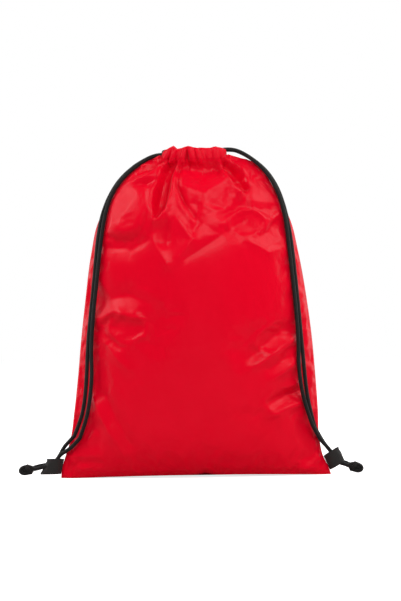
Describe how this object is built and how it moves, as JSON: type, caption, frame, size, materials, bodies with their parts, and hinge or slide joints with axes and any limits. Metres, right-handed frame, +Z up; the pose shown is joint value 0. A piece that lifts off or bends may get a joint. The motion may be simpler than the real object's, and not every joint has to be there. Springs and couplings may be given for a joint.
{
  "type": "drawstring backpack",
  "caption": "Soft cloth drawstring backpack with a gathered hem, cords that close its mouth and run down its sides as straps, and knots held by webbing loops at its bottom corners.",
  "frame": {"origin": "middle of the flat base, on the surface that the bag stands on", "axes": "+Z up towards the gathered mouth, -Y towards the front panel that the straps lie on, +X towards the right of someone who looks at the front"},
  "size_m": [0.4409, 0.155, 0.4212],
  "materials": {
    "red_cloth": "thin plain-weave synthetic cloth, coated, with a soft sheen",
    "black_cord": "round braided synthetic cord, black",
    "black_webbing": "flat woven tape, black"
  },
  "bodies": {
    "bag": {"front_panel": "red_cloth", "back_panel": "red_cloth", "bottom_seam_allowance": "red_cloth", "left_seam_allowance": "red_cloth", "right_seam_allowance": "red_cloth", "left_webbing_anchor": "black_webbing", "right_webbing_anchor": "black_webbing", "left_cord_lead": "black_cord", "right_cord_lead": "black_cord", "left_cord_end_loop": "black_cord", "right_cord_end_loop": "black_cord"},
    "front_hem": {"front_hem": "red_cloth", "left_cord_front_run": "black_cord", "right_cord_front_run": "black_cord"},
    "back_hem": {"back_hem": "red_cloth", "left_cord_back_run": "black_cord", "right_cord_back_run": "black_cord"},
    "left_strap": {"left_cord_front_strand": "black_cord", "left_cord_back_strand": "black_cord"},
    "right_strap": {"right_cord_front_strand": "black_cord", "right_cord_back_strand": "black_cord"},
    "left_tab": {"left_webbing_loop": "black_webbing", "left_cord_tail": "black_cord"},
    "right_tab": {"right_webbing_loop": "black_webbing", "right_cord_tail": "black_cord"},
    "left_knot": {"left_cord_knot": "black_cord"},
    "right_knot": {"right_cord_knot": "black_cord"}
  },
  "joints": [
    {"name": "front_hem_lean", "type": "hinge", "parent": "bag", "child": "front_hem", "pos_m": [0, -0.015, 0.4028], "axis": [1, 0, 0], "range_deg": [0, 15], "deforming": ["left_cord_end_loop", "right_cord_end_loop"]},
    {"name": "back_hem_lean", "type": "hinge", "parent": "bag", "child": "back_hem", "pos_m": [0, 0.015, 0.4028], "axis": [-1, 0, 0], "range_deg": [0, 15], "deforming": ["left_cord_end_loop", "right_cord_end_loop"]},
    {"name": "left_strap_lift", "type": "slide", "parent": "bag", "child": "left_strap", "axis": [-0.5, -0.866, 0], "range_m": [0, 0.044], "deforming": ["left_cord_lead"]},
    {"name": "right_strap_lift", "type": "slide", "parent": "bag", "child": "right_strap", "axis": [0.5, -0.866, 0], "range_m": [0, 0.044], "deforming": ["right_cord_lead"]},
    {"name": "left_tab_swing", "type": "hinge", "parent": "bag", "child": "left_tab", "pos_m": [-0.17275, 0, 0.01475], "axis": [0, 0, 1], "range_deg": [-25, 25], "deforming": ["left_cord_lead"]},
    {"name": "right_tab_swing", "type": "hinge", "parent": "bag", "child": "right_tab", "pos_m": [0.163, 0, 0.01475], "axis": [0, 0, 1], "range_deg": [-25, 25], "deforming": ["right_cord_lead"]},
    {"name": "left_knot_slide", "type": "slide", "parent": "left_tab", "child": "left_knot", "axis": [0.9858, 0, 0.168], "range_m": [0, 0.011], "deforming": ["left_cord_tail"]},
    {"name": "right_knot_slide", "type": "slide", "parent": "right_tab", "child": "right_knot", "axis": [-0.9588, 0, 0.2841], "range_m": [0, 0.006], "deforming": ["right_cord_tail"]}
  ],
  "couplings": [
    {"joint": "left_knot_slide", "follows": "left_strap_lift", "ratio": 0.25},
    {"joint": "right_knot_slide", "follows": "right_strap_lift", "ratio": 0.136}
  ]
}
